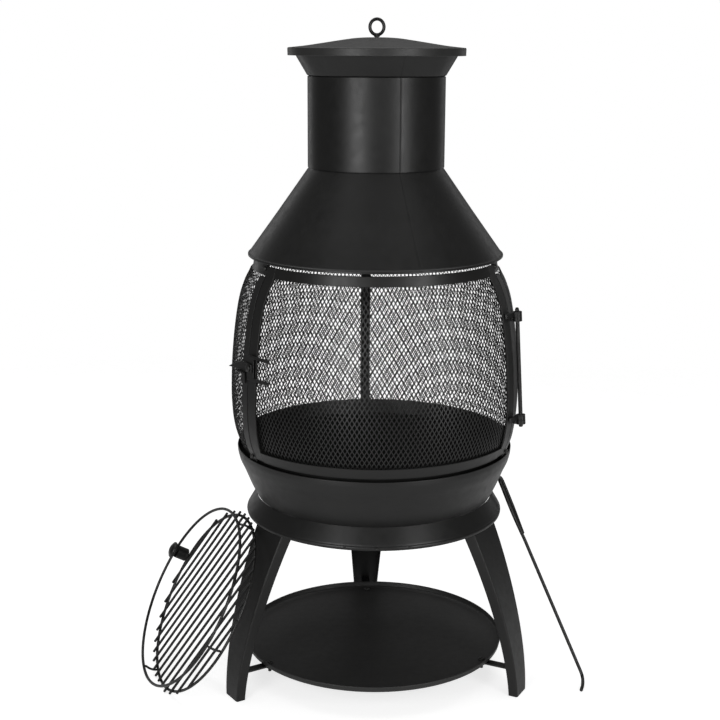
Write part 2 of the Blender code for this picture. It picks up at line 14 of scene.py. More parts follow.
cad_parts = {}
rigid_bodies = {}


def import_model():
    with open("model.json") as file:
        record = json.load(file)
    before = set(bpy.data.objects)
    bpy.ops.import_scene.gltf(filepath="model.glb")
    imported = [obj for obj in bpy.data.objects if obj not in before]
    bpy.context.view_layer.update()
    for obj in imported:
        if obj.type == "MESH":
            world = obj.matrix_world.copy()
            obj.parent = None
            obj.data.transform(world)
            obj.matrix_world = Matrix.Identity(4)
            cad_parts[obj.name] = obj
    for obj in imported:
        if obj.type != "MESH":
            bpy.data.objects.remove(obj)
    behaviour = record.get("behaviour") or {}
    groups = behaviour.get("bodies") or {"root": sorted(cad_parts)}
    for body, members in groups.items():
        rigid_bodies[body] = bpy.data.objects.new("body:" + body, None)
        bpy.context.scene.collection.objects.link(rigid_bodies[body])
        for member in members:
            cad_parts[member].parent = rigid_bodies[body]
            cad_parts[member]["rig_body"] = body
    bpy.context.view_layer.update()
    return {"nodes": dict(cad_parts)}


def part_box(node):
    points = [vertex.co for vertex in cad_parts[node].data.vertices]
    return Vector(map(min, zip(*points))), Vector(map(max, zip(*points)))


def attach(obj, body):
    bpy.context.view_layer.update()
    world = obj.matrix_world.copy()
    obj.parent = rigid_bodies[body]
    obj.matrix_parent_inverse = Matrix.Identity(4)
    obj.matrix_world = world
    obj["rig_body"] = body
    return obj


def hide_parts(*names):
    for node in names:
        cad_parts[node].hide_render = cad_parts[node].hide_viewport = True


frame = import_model()

LOW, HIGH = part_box("flue_pipe")
AXIS = Vector(((LOW.x + HIGH.x) / 2, (LOW.y + HIGH.y) / 2, 0.0))

SHEET = 0.0012            # rolled steel sheet
PRESSED = 0.0010          # pressed steel sheet
SHADE_SKIN = 0.0002             # skin of painted shade inside the bowl
GAP = 0.0004              # clearance between pieces that touch
SIDES = 180               # steps in a full turn of a turned sheet
MERGE = 2e-6              # points closer than this are one
EDGE_BREAK = 0.0004       # broken edge of a thin plate
WIRE_CAPS = 3             # rings in a wire's rounded end
EDGE_ABOVE = 25.0         # degrees: a CAD edge sharper than this is rounded over

# --- a rolled sheet's lap: where it is, how far it laps, and the groove along its free edge
SEAM = math.radians(285.4)
LAP, LAP_EASE, LAP_CLEAR = 0.012, 0.055, 0.0005
SEAM_DEPTH, SEAM_WIDTH = 0.0009, 0.0045

# --- the barrel of the firebox: (height, radius) of its mesh
BARREL = [(0.4080, 0.2318), (0.4255, 0.2352), (0.4395, 0.2408), (0.4550, 0.2454), (0.4800, 0.2492),
          (0.5150, 0.2508), (0.5600, 0.2496), (0.6050, 0.2463), (0.6500, 0.2408), (0.6850, 0.2342),
          (0.7120, 0.2250), (0.7325, 0.2150), (0.7500, 0.2105)]
BAR_IN, BAR_OUT, BAR_CORNER = 0.0009, 0.0044, 0.0007   # flat bar: faces off the mesh radius
POST_LEFT, POST_RIGHT, POST_REAR = math.radians(208.5), math.radians(336.0), math.radians(91.0)
POST_HALF = 0.0090
STILE_NEAR, STILE_FAR = 0.0110, 0.0340
POST_Z, PANEL_Z, DOOR_Z, RAIL = (0.4090, 0.7325), (0.4260, 0.7320), (0.4255, 0.7500), 0.0165
RAIL_DROP = 0.0018        # the bottom rail's lower edge, below the stiles' feet
TOP_BAND_OVERLAP = 0.030  # radians, past the posts on each side
POST_BOLT_Z, POST_BOLT_OFF = 0.4275, 0.0017            # off: the bolt's seat, from the bar's face
HOOD_BOLT_Z, HOOD_BOLT_R = 0.7455, 0.2112 + 0.0022

# --- expanded metal
CELLS_ROUND = 198         # diamonds in a full turn
CELL_TALL = 0.0131
HOLE_SIDE, HOLE_TIP, HOLE_BOND = 0.74, 0.77, 0.03   # hole corners, as shares of the half diamond
STRAND_THICK, STRAND_TILT = 0.00055, 0.00022
MESH_MIDDLE = -0.00045    # the mesh's middle, from the barrel radius
MESH_EDGE, DOOR_MESH_EDGE = 0.0036 / 0.25, 0.0130 / 0.245   # radians from a post's middle

# --- legs
LEG_AZ = {"front_left": 210.0, "rear": 90.0, "front_right": 330.0}
LEG_R0, LEG_DROP, LEG_POWER, LEG_SPAN = 0.2926, 0.0813, 1.648, 0.300
LEG_HALF, LEG_FLANGE, LEG_THICK = (0.0206, 0.0245), (0.0160, 0.0060), 0.0025
LEG_TOP, LEG_RISE, LEG_RISE_FROM = 0.2960, 0.0160, 0.26
TRAY_Z, TRAY_BOLT_R = 0.0455, 0.2160   # the tray's underside, and its bolts from the axis
RING_BUMPS = (254.6, 268.4, 282.0)     # azimuths, in degrees

# --- lid's ring: half width and half height, the height of its middle, and its wire
LID_RING, LID_RING_Z, LID_WIRE = (0.0117, 0.01275), 1.1345, 0.00275

# --- latch, hinge and grate
LATCH_AZ, LATCH_Z, LATCH_FACE_Z = math.radians(213.6), 0.5870, 0.5640
BRACKET_DEPTHS, LEVER_DEPTHS, PIVOT_HOLE = (0.0012, 0.0030), (0.0034, 0.0060), 0.0033
HINGE_AZ = math.radians(335.8)
HINGE_LOW, HINGE_HIGH = (0.4850, 0.2665), (0.6640, 0.2549)
PIN_R, PIN_Z = 0.0035, (0.4740, 0.6790)
GRATE_AZ, GRATE_LEAN = math.radians(198.8), math.radians(60.5)
GRATE_AT = (-0.3022, -0.0637, 0.1447)
GRATE_R, GRATE_SPACE = 0.1630, 0.0300
GRATE_WIRE, GRATE_BAR, GRATE_BARS = 0.00247, 0.0023, 15
GRATE_BAR_TURN = math.radians(72.0)
GRATE_BAR_SEAT, GRATE_BAR_OVERHANG = 0.0034, 0.0068
GRATE_LINKS = [75.7, 350.0, 255.7]
GRATE_KNOB = math.radians(170.0)

# --- screws: head radius and height, shank radius and length
TRAY_SCREW = (0.0062, 0.0032, 0.0030, 0.0160)
POST_SCREW = (0.0042, 0.0028, 0.0024, 0.0095)
HOOD_SCREW = (0.0042, 0.0030, 0.0021, 0.0065)

# --- poker
POKER_BEND, POKER_TOP = Vector((0.3680, -0.1120, 0.0135)), Vector((0.2242, -0.0010, 0.3475))
POKER_TIP, POKER_SIDE = Vector((0.3590, -0.1460, 0.0033)), Vector((0.25, 0.95, 0.0))
POKER_WIRE, POKER_BOW, POKER_HANDLE = 0.0030, 0.0105, 0.118

# --- studio: azimuth, distance, height, size, power and the height aimed at
SOFTBOXES = {
    "softbox_left": (237.5, 2.5, 0.95, (0.90, 1.9), 29.0, 0.9),
    "softbox_right": (306.0, 2.5, 0.95, (0.75, 1.9), 25.0, 0.9),
    "softbox_back_left": (122.0, 2.6, 1.0, (0.50, 1.9), 2.6, 0.8),
    "softbox_back_right": (50.0, 2.6, 1.0, (0.50, 1.9), 1.6, 0.8),
    "softbox_front": (268.0, 2.9, 1.35, (1.6, 0.9), 3.5, 0.5),
    "softbox_top": (90.0, 0.5, 3.2, (3.0, 3.0), 44.0, 0.6),
}
FLOOR_R, FLOOR_Z, FLOOR_FADE, FLOOR_TONE = 4.0, -0.0003, (1.1, 2.6), 0.62
ROOM_LIGHT, FLOOR_GLOW = 0.145, (0.22, 0.72)   # the floor's glow: in reflections, to the camera
CAMERA_AT, CAMERA_LENS = (-0.1067, -2.3605, 1.1071), 68.5
CAMERA_TURNS = ((-2.6, "Z"), (77.0, "X"), (0.26, "Z"))


# --------------------------------------------------------------------------- finishes

def linked(tree, kind, **values):
    """A new node with its named inputs set."""
    node = tree.nodes.new(kind)
    for name, value in values.items():
        node.inputs[name.replace("_", " ")].default_value = value
    return node


def noise(tree, coords, scale, detail=2.0, rough=0.5):
    """Noise that stays with the piece."""
    node = linked(tree, "ShaderNodeTexNoise", Scale=scale, Detail=detail, Roughness=rough)
    tree.links.new(coords.outputs["Object"], node.inputs["Vector"])
    return node


def spread(tree, source, low, high, start=0.30, end=0.70):
    """Maps a noise onto a range of values."""
    node = tree.nodes.new("ShaderNodeMapRange")
    for name, value in (("From Min", start), ("From Max", end), ("To Min", low), ("To Max", high)):
        node.inputs[name].default_value = value
    tree.links.new(source, node.inputs["Value"])
    return node.outputs["Result"]


def paint(name, dark, light, rough, spread_by=0.05, grain=0.10, grain_scale=1500.0, metal=0.0):
    """Baked-on black paint: a fine pebbled skin, and slow changes of tone and gloss."""
    mat = bpy.data.materials.new(name)
    mat.use_nodes = True
    tree = mat.node_tree
    shader = tree.nodes["Principled BSDF"]
    shader.inputs["Metallic"].default_value = metal
    shader.inputs["Specular IOR Level"].default_value = 0.40
    coords = tree.nodes.new("ShaderNodeTexCoord")
    broad = noise(tree, coords, 9.0, 4.0, 0.55)
    middle = noise(tree, coords, 70.0, 3.0, 0.6)
    fine = noise(tree, coords, grain_scale, 2.0, 0.6)
    tones = tree.nodes.new("ShaderNodeMix")
    tones.data_type = "RGBA"
    tones.inputs[6].default_value = (*dark, 1.0)
    tones.inputs[7].default_value = (*light, 1.0)
    tree.links.new(spread(tree, broad.outputs["Fac"], 0.0, 1.0), tones.inputs[0])
    tree.links.new(tones.outputs[2], shader.inputs["Base Color"])
    tree.links.new(spread(tree, middle.outputs["Fac"], rough - spread_by, rough + spread_by),
                   shader.inputs["Roughness"])
    bump = linked(tree, "ShaderNodeBump", Strength=grain, Distance=0.0002)
    tree.links.new(fine.outputs["Fac"], bump.inputs["Height"])
    tree.links.new(bump.outputs["Normal"], shader.inputs["Normal"])
    return mat


# --- paints: dark tone, light tone and roughness; then, where they differ from a plain paint, the
# spread of the gloss, the strength and the scale of the grain, and how metallic it is
PAINTS = {
    "body_paint": ((0.0050, 0.0050, 0.0048), (0.0078, 0.0077, 0.0074), 0.39),
    "stand_paint": ((0.0048, 0.0048, 0.0046), (0.0076, 0.0075, 0.0072), 0.42),
    "frame_paint": ((0.0052, 0.0052, 0.0050), (0.0080, 0.0079, 0.0075), 0.40),
    "mesh_paint": ((0.0050, 0.0050, 0.0048), (0.0080, 0.0079, 0.0075), 0.42),
    "bracket_paint": ((0.0045, 0.0045, 0.0044), (0.0070, 0.0070, 0.0067), 0.44),
    "wire_paint": ((0.0055, 0.0055, 0.0053), (0.0090, 0.0089, 0.0085), 0.31),
    # painted light: the lid's paint is lighter than the body's to stand in for the light on its top
    "lid_paint": ((0.0170, 0.0170, 0.0166), (0.0240, 0.0239, 0.0233), 0.44),
    "fastener_steel": ((0.0200, 0.0200, 0.0195), (0.0400, 0.0395, 0.0380), 0.36, 0.05, 0.10,
                       1500.0, 0.5),
    # painted shade: a near-black skin for the bowl's shaded inside
    "bowl_painted_shade": ((0.0012, 0.0011, 0.0010), (0.0030, 0.0028, 0.0026), 0.78, 0.08, 0.30, 420.0),
    # painted light: the tray's paint is lighter than the stand's to stand in for the light it gets
    # from the floor
    "tray_painted_light": ((0.0160, 0.0160, 0.0155), (0.0230, 0.0228, 0.0222), 0.48),
}
FINISH = {name: paint(name, *look) for name, look in PAINTS.items()}


# --------------------------------------------------------------------------- mesh code

def piece(name, points, faces, finish, body, *nodes, sharp=32.0, look=None):
    """A finished piece: smooth shaded, placed on the axis, riding on its body, standing for nodes.
    Its look is its finish's own, or a lightened or darkened kind of it that stands for light or
    shade."""
    mesh = bpy.data.meshes.new(name)
    mesh.from_pydata([tuple(p) for p in np.asarray(points, float)], [], [tuple(f) for f in faces])
    work = bmesh.new()
    work.from_mesh(mesh)
    bmesh.ops.remove_doubles(work, verts=work.verts, dist=MERGE)
    bmesh.ops.recalc_face_normals(work, faces=work.faces)
    work.to_mesh(mesh)
    work.free()
    mesh.polygons.foreach_set("use_smooth", [True] * len(mesh.polygons))
    mesh.set_sharp_from_angle(angle=math.radians(sharp))
    mesh.transform(Matrix.Translation(AXIS))
    mesh.materials.append(FINISH[look or finish])
    obj = bpy.data.objects.new(name, mesh)
    bpy.context.scene.collection.objects.link(obj)
    if finish != "mesh_paint":
        even = obj.modifiers.new("even_shading", "WEIGHTED_NORMAL")
        even.keep_sharp, even.weight = True, 60
    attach(obj, body)
    if nodes:
        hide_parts(*nodes)
    return obj


def grid_faces(rows, columns, wrap_rows=False, wrap_columns=False, first=0):
    """Quads of a grid of points, open or closed either way."""
    i = np.arange(rows if wrap_rows else rows - 1)[:, None]
    j = np.arange(columns if wrap_columns else columns - 1)[None, :]
    a, b = i * columns + j, i * columns + (j + 1) % columns
    c, d = (i + 1) % rows * columns + (j + 1) % columns, (i + 1) % rows * columns + j
    return (np.stack([a, b, c, d], -1).reshape(-1, 4) + first).tolist()


def joined(parts):
    """Several (points, faces) pairs as one."""
    points, faces = [], []
    for some, their in parts:
        first = len(points)
        points += [tuple(p) for p in some]
        faces += [[first + v for v in face] for face in their]
    return points, faces


def polar(radius, angle, z):
    return Vector((radius * math.cos(angle), radius * math.sin(angle), z))


def outward(turn):
    """The directions away from the axis and along the turn, level, at an azimuth."""
    return polar(1, turn, 0), polar(1, turn + math.pi / 2, 0)


def ring_points(radii, turns, heights):
    """Points of a turned surface: rows follow the line, columns the turn."""
    radii, heights = np.asarray(radii, float), np.asarray(heights, float)
    x, y = radii * np.cos(turns), radii * np.sin(turns)
    return np.stack([x, y, np.broadcast_to(heights, x.shape)], -1)


def fillet(line, reach, steps=5):
    """Rounds the corners of an open line: reach is how far along each side a bend starts."""
    line = [Vector(p) for p in line]
    reach = [reach] * len(line) if isinstance(reach, float) else reach
    made = [line[0]]
    for i in range(1, len(line) - 1):
        before, here, after = line[i - 1], line[i], line[i + 1]
        back = min(reach[i], (before - here).length * 0.45)
        ahead = min(reach[i], (after - here).length * 0.45)
        start = here + (before - here).normalized() * back
        end = here + (after - here).normalized() * ahead
        for k in range(steps + 1):
            t = k / steps
            made.append(start.lerp(here, t).lerp(here.lerp(end, t), t))
    made.append(line[-1])
    return made


def curl(line, radius, degrees, steps=8):
    """Rolls the end of a line: positive degrees turn it to its left."""
    line = [Vector(p) for p in line]
    step = math.radians(degrees) / steps
    ahead = (line[-1] - line[-2]).normalized()
    heading = math.atan2(ahead.y, ahead.x) - step / 2
    for _ in range(steps):
        heading += step
        line.append(line[-1] + Vector((math.cos(heading), math.sin(heading))) * radius * abs(step))
    return line


def curl_start(line, radius, degrees, steps=8):
    """Rolls the start of a line."""
    return curl(list(line)[::-1], radius, -degrees, steps)[::-1]


def beside(line, thick, on_axis=True):
    """The same line, moved to its left by a thickness. A turned line stays on its side of the
    axis."""
    pts = np.array([tuple(p) for p in line])
    step = np.diff(pts, axis=0)
    step /= np.linalg.norm(step, axis=1, keepdims=True)
    before, after = np.vstack([step[:1], step]), np.vstack([step, step[-1:]])
    across = np.stack([-(before + after)[:, 1], (before + after)[:, 0]], 1)
    across /= np.linalg.norm(across, axis=1, keepdims=True)
    straight = np.stack([-before[:, 1], before[:, 0]], 1)
    reach = thick / np.clip((across * straight).sum(1), 0.6, 1.0)
    moved = pts + across * reach[:, None]
    if on_axis:
        moved[pts[:, 0] < 1e-9, 0] = 0.0
        moved[:, 0] = np.maximum(moved[:, 0], 0.0)
    return moved


def closed_sheet(outer, inner, wrap):
    """Two matching point grids as one sheet with its edges closed."""
    rows, columns = outer.shape[:2]
    count = rows * columns
    points = np.vstack([outer.reshape(-1, 3), inner.reshape(-1, 3)])
    faces = grid_faces(rows, columns, False, wrap)
    faces += [face[::-1] for face in grid_faces(rows, columns, False, wrap, count)]
    spans = [(j, (j + 1) % columns) for j in range(columns if wrap else columns - 1)]
    for i in (0, rows - 1):
        faces += [[i * columns + a, i * columns + b, count + i * columns + b,
                   count + i * columns + a] for a, b in spans]
    if not wrap:
        for j in (0, columns - 1):
            faces += [[i * columns + j, (i + 1) * columns + j, count + (i + 1) * columns + j,
                       count + i * columns + j] for i in range(rows - 1)]
    return points, faces


def turned(line, thick=SHEET):
    """A full turn of a sheet whose outside follows the (radius, height) line."""
    outside, inside = np.array([tuple(p) for p in line]), beside(line, thick)
    turns = np.linspace(0, 2 * math.pi, SIDES, endpoint=False)[None, :]
    grids = [ring_points(one[:, :1], turns, one[:, 1:]) for one in (outside, inside)]
    return closed_sheet(*grids, True)


def arc_sheet(line, start, end):
    """Part of a turn of a sheet."""
    outside, inside = np.array([tuple(p) for p in line]), beside(line, SHEET)
    turns = np.linspace(start, end, max(8, round((end - start) / (2 * math.pi / SIDES))))[None, :]
    grids = [ring_points(one[:, :1], turns, one[:, 1:]) for one in (outside, inside)]
    return closed_sheet(*grids, False)


def lapped(line, radius, ease=LAP_EASE):
    """A rolled sheet whose end laps over its start, with a groove along the free edge."""
    outside, inside = np.array([tuple(p) for p in line]), beside(line, SHEET)
    start = SEAM - LAP / radius
    near = SEAM + np.array([0.0004, 0.0016, 0.0030, 0.0045, 0.0070]) / radius
    final = SEAM + 2 * math.pi
    turns = np.concatenate([[start, SEAM - 0.002 / radius], near,
                            np.linspace(near[-1] + 0.02, final - 0.004 / radius, SIDES), [final]])
    rise = np.clip((turns - (final - ease / radius)) / (ease / radius), 0, 1)
    lift = (SHEET + LAP_CLEAR) * rise ** 2
    away = (turns - SEAM) * radius
    groove = np.clip(1 - np.maximum(away, 0) / SEAM_WIDTH, 0, 1) * (turns < final - 1)
    lift -= SEAM_DEPTH * groove
    grids = [ring_points(one[:, :1] + lift[None, :], turns[None, :], one[:, 1:])
             for one in (outside, inside)]
    return closed_sheet(*grids, False)


def solid_turn(loop, frame_at=None, sides=28):
    """A solid of revolution from an open (radius, height) line that starts and ends on its axis."""
    frame_at = frame_at or Matrix.Identity(4)
    turns = np.linspace(0, 2 * math.pi, sides, endpoint=False)[None, :]
    line = np.array([tuple(p) for p in loop])
    grid = ring_points(line[:, :1], turns, line[:, 1:])
    points = [frame_at @ Vector(p) for p in grid.reshape(-1, 3)]
    return points, grid_faces(len(line), sides, False, True)


def wire(path, radius, sides=14, closed=False):
    """A round wire along a path of points, with rounded ends unless it is closed."""
    path = [Vector(p) for p in path]
    count = len(path)
    tangents = []
    for i in range(count):
        if closed:
            tangents.append((path[(i + 1) % count] - path[i - 1]).normalized())
        else:
            tangents.append((path[min(i + 1, count - 1)] - path[max(i - 1, 0)]).normalized())
    side = tangents[0].orthogonal().normalized()
    frames = []
    for tangent in tangents:
        side = (side - tangent * side.dot(tangent)).normalized()
        frames.append((side, tangent.cross(side)))
    if closed:
        back = frames[-1][0] - tangents[0] * frames[-1][0].dot(tangents[0])
        twist = math.atan2(back.dot(frames[0][1]), back.dot(frames[0][0]))
        frames = [(s * math.cos(twist * i / count) - t * math.sin(twist * i / count),
                   t * math.cos(twist * i / count) + s * math.sin(twist * i / count))
                  for i, (s, t) in enumerate(frames)]
    rings = [(p, f, radius) for p, f in zip(path, frames)]
    if not closed:
        for end, sign in ((0, -1), (-1, 1)):
            base, (one, two), _ = rings[end]
            ahead = tangents[end] * sign
            extra = []
            for k in range(1, WIRE_CAPS + 1):
                turn = math.pi / 2 * k / WIRE_CAPS
                extra.append((base + ahead * radius * 0.6 * math.sin(turn), (one, two),
                              max(radius * math.cos(turn), 1e-7)))
            rings = extra[::-1] + rings if end == 0 else rings + extra
    points = []
    for at, (one, two), wide in rings:
        for k in range(sides):
            turn = 2 * math.pi * k / sides
            points.append(at + (one * math.cos(turn) + two * math.sin(turn)) * wide)
    return points, grid_faces(len(rings), sides, closed, True)


def curve_through(points, steps=8):
    """A smooth curve through points, as a list of points."""
    pts = [Vector(p) for p in points]
    ends = [pts[0] * 2 - pts[1], *pts, pts[-1] * 2 - pts[-2]]
    made = []
    for a, b, c, d in zip(ends, ends[1:], ends[2:], ends[3:]):
        for k in range(steps):
            t = k / steps
            made.append(0.5 * ((b * 2) + (c - a) * t + (a * 2 - b * 5 + c * 4 - d) * t * t
                               + (b * 3 - a - c * 3 + d) * t ** 3))
    return made + [pts[-1]]


def axes_at(origin, along, across=None):
    """A frame at a point, with its Z along a direction and its X as near as it goes to another."""
    along = Vector(along).normalized()
    across = Vector(across) if across is not None else along.orthogonal()
    across = (across - along * across.dot(along)).normalized()
    made = Matrix((across, along.cross(across), along)).transposed().to_4x4()
    made.translation = Vector(origin)
    return made


def softened(node, width, finish, steps=2):
    """The CAD node's own shape with its edges rounded over."""
    work = bmesh.new()
    work.from_mesh(frame["nodes"][node].data)
    bmesh.ops.remove_doubles(work, verts=work.verts, dist=MERGE)
    bmesh.ops.dissolve_limit(work, angle_limit=math.radians(1.0), verts=work.verts,
                             edges=work.edges)
    edges = [e for e in work.edges if e.is_manifold
             and e.calc_face_angle() > math.radians(EDGE_ABOVE)]
    bmesh.ops.bevel(work, geom=edges, offset=width, segments=steps, profile=0.5,
                    affect="EDGES", clamp_overlap=True)
    work.verts.ensure_lookup_table()
    points = [v.co - AXIS for v in work.verts]
    faces = [[v.index for v in f.verts] for f in work.faces]
    work.free()
    body = frame["nodes"][node]["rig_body"]
    return piece(node + "_edged", points, faces, finish, body, node, sharp=28.0)


# --------------------------------------------------------------------------- the barrel

def smooth_table(rows, count=400):
    """A dense table through (x, y) rows along a curve with no overshoot."""
    x, y = (np.array(v, float) for v in zip(*rows))
    step, rise = np.diff(x), np.diff(y) / np.diff(x)
    slope = np.zeros(len(x))
    for i in range(1, len(x) - 1):
        if rise[i - 1] * rise[i] > 0:
            w1, w2 = 2 * step[i] + step[i - 1], step[i] + 2 * step[i - 1]
            slope[i] = (w1 + w2) / (w1 / rise[i - 1] + w2 / rise[i])
    slope[0], slope[-1] = rise[0], rise[-1]
    dense = np.linspace(x[0], x[-1], count)
    k = np.clip(np.searchsorted(x, dense) - 1, 0, len(x) - 2)
    t, h = (dense - x[k]) / step[k], step[k]
    value = ((2 * t ** 3 - 3 * t ** 2 + 1) * y[k] + (t ** 3 - 2 * t ** 2 + t) * h * slope[k]
             + (3 * t ** 2 - 2 * t ** 3) * y[k + 1] + (t ** 3 - t ** 2) * h * slope[k + 1])
    return dense, value


BARREL_TABLE = smooth_table(BARREL)


def barrel(z):
    """The mesh's radius at a height."""
    return np.interp(z, *BARREL_TABLE)


def bar_section(low, high):
    """A flat bar's section: a rectangle with rounded corners, as a loop of (x, y) points."""
    made, corner, steps = [], BAR_CORNER, 3
    for cx, cy, first in ((high[0], high[1], 0), (low[0], high[1], 90), (low[0], low[1], 180),
                          (high[0], low[1], 270)):
        sx, sy = (1 if cx == high[0] else -1), (1 if cy == high[1] else -1)
        for k in range(steps + 1):
            turn = math.radians(first + 90 * k / steps)
            made.append((cx - sx * corner + corner * math.cos(turn),
                         cy - sy * corner + corner * math.sin(turn)))
    return made


def capped_sweep(grid):
    """A closed section (columns) swept along rows, with flat ends."""
    rows, columns = grid.shape[:2]
    faces = grid_faces(rows, columns, False, True)
    faces += [list(range(columns))[::-1],
              list(range((rows - 1) * columns, rows * columns))]
    return grid.reshape(-1, 3), faces


def upright_bar(middle, near, far, low, high):
    """A flat bar that follows the barrel upwards."""
    section = np.array(bar_section((near, BAR_IN), (far, BAR_OUT)))
    z = np.linspace(low, high, 64)[:, None]
    turns = middle + section[None, :, 0] / barrel(z)
    return capped_sweep(ring_points(barrel(z) + section[None, :, 1], turns, z))


def cross_rail(start, end, low, high):
    """A flat bar that follows the barrel round, between (azimuth, sideways distance) ends."""
    section = np.array(bar_section((low, BAR_IN), (high, BAR_OUT)))
    z, out = section[None, :, 0], section[None, :, 1]
    first, final = start[0] + start[1] / barrel(z), end[0] + end[1] / barrel(z)
    part = np.linspace(0, 1, 80)[:, None]
    return capped_sweep(ring_points(barrel(z) + out, first + (final - first) * part, z))


def expanded(start, end, low, high):
    """Expanded metal on the barrel: one sheet with staggered upright diamond holes. Each strand is
    tipped a little, as the slitting and stretching leaves it."""
    half = math.pi / CELLS_ROUND
    columns = round((end - start) / half)
    rows = round((high - low) / (CELL_TALL / 2))
    wide, tall = (end - start) / columns, (high - low) / rows

    def place(u, v, out):
        z = np.clip(low + v * tall, low, high)
        turn = np.clip(start + u * wide, start, end)
        return ring_points(barrel(z) + MESH_MIDDLE + out, turn, z)

    u, v = np.meshgrid(np.arange(columns + 1), np.arange(rows + 1), indexing="ij")
    bond = (u + v) % 2 == 1
    number = np.full(u.shape, -1)
    number[bond] = np.arange(bond.sum())
    cells = ~bond & (u > 0) & (u < columns) & (v > 0) & (v < rows)
    cu, cv = u[cells], v[cells]
    first = int(bond.sum())
    corners = [(0, HOLE_TIP, 0), (HOLE_SIDE, HOLE_BOND, -1), (HOLE_SIDE, -HOLE_BOND, -1),
               (0, -HOLE_TIP, 0), (-HOLE_SIDE, -HOLE_BOND, 1), (-HOLE_SIDE, HOLE_BOND, 1)]
    sheets = []
    for side in (STRAND_THICK / 2, -STRAND_THICK / 2):
        bonds = place(u[bond].astype(float), v[bond].astype(float), side)
        holes = [place(cu + du, cv + dv, side + tip * STRAND_TILT) for du, dv, tip in corners]
        sheets.append(np.vstack([bonds, np.stack(holes, 1).reshape(-1, 3)]))
    count = len(sheets[0])
    hole = first + 6 * np.arange(len(cu))[:, None] + np.arange(6)[None, :]
    top, right = number[cu, cv + 1], number[cu + 1, cv]
    foot, left = number[cu, cv - 1], number[cu - 1, cv]
    quads = np.concatenate([
        np.stack([top, hole[:, 0], hole[:, 1], right], 1),
        np.stack([right, hole[:, 2], hole[:, 3], foot], 1),
        np.stack([foot, hole[:, 3], hole[:, 4], left], 1),
        np.stack([left, hole[:, 5], hole[:, 0], top], 1)])
    tris = np.concatenate([np.stack([right, hole[:, 1], hole[:, 2]], 1),
                           np.stack([left, hole[:, 4], hole[:, 5]], 1)])
    edges = np.concatenate([quads[:, [k, (k + 1) % 4]] for k in range(4)]
                           + [tris[:, [k, (k + 1) % 3]] for k in range(3)])
    keys, counts = np.unique(np.sort(edges, 1), axis=0, return_counts=True)
    rim = keys[counts == 1]
    walls = np.stack([rim[:, 0], rim[:, 1], rim[:, 1] + count, rim[:, 0] + count], 1)
    faces = quads.tolist() + tris.tolist() + (quads[:, ::-1] + count).tolist()
    faces += (tris[:, ::-1] + count).tolist() + walls.tolist()
    return np.vstack(sheets), faces


# --------------------------------------------------------------------------- bowl, ring, tray

def make_base_ring():
    """Rolled ring: a cone with a beaded lower edge and a groove above the bead."""
    line = [(0.2262, 0.2978), (0.2268, 0.3004), (0.2262, 0.3028), (0.2249, 0.3040),
            (0.2246, 0.3054), (0.2092, 0.3315)]
    line = fillet(line, 0.0016, 4)
    line = curl_start(line, 0.0018, 130, 6)
    piece("base_ring_rolled", *turned(line, PRESSED), "body_paint", "root", "base_ring")


def make_ring_bumps():
    """Small pressed bumps along the ring's lower edge."""
    parts = []
    for azimuth in RING_BUMPS:
        turn = math.radians(azimuth)
        place = axes_at(polar(0.2266, turn, 0.3002), polar(1, turn, 0))
        dome = [(0, -0.0008), (0.0026, -0.0008), (0.0026, 0.0003), (0.0021, 0.0011),
                (0.0012, 0.0016), (0, 0.0018)]
        parts.append(solid_turn(fillet(dome, 0.0005, 3), place, 20))
    piece("base_ring_bumps", *joined(parts), "body_paint", "root")


def make_bowl():
    """A pressed bowl with a small rolled rim, and a very dark skin of painted shade inside it."""
    line = [(0.0, 0.3095), (0.1850, 0.3095), (0.1935, 0.3118), (0.2060, 0.3275),
            (0.2179, 0.3505), (0.2321, 0.3850), (0.2379, 0.3965), (0.2412, 0.4105),
            (0.2416, 0.4184)]
    line = fillet(line, [0, 0.004, 0.004, 0.009, 0.01, 0.006, 0.006, 0.003, 0], 5)
    # A near-black skin over the bowl's inside: painted shade where the bowl lies in shadow.
    skin = beside(line, SHEET + SHADE_SKIN)
    piece("fire_bowl_painted_shade", *turned(skin[:-2], SHADE_SKIN), "body_paint", "root", look="bowl_painted_shade")
    line = curl(line, 0.0009, 170, 7)
    piece("fire_bowl_pressed", *turned(line, PRESSED), "body_paint", "root", "fire_bowl")


def make_tray():
    """A shallow round dish with a rolled rim, on a bolted bracket at each leg."""
    line = [(0.0, TRAY_Z), (0.1400, TRAY_Z), (0.2250, TRAY_Z), (0.2312, 0.0478),
            (0.2330, 0.0562)]
    line = curl(fillet(line, [0, 0.01, 0.006, 0.003, 0.0], 6), 0.0011, 170, 6)
    # The tray wears a lighter paint than the stand: painted light for the floor's light on it.
    piece("log_tray_pressed", *turned(line, PRESSED), "stand_paint", "root", "log_tray",
          look="tray_painted_light")
    for place, azimuth in LEG_AZ.items():
        softened("tray_bracket_" + place, 0.0005, "bracket_paint")
        softened("tray_nut_" + place, 0.0004, "fastener_steel")
        top = polar(TRAY_BOLT_R, math.radians(azimuth), TRAY_Z + SHEET)
        screw("tray_bolt_" + place, top, (0, 0, 1), *TRAY_SCREW)


def screw(node, point, along, head_r, head_h, shank_r, shank):
    """A domed screw with a flange, and a small hollow in its head."""
    place = axes_at(point, along)
    head = [(0, GAP + head_h * 0.62), (head_r * 0.10, GAP + head_h * 0.62),
            (head_r * 0.30, GAP + head_h * 0.96), (head_r * 0.55, GAP + head_h * 0.90),
            (head_r * 0.82, GAP + head_h * 0.62), (head_r * 0.92, GAP + head_h * 0.30),
            (head_r, GAP + head_h * 0.18), (head_r, GAP), (shank_r, GAP),
            (shank_r, -shank + 0.0006), (shank_r - 0.0006, -shank), (0, -shank)]
    piece(node + "_domed", *solid_turn(fillet(head, head_r * 0.10, 3), place, 28),
          "fastener_steel", "root", node)


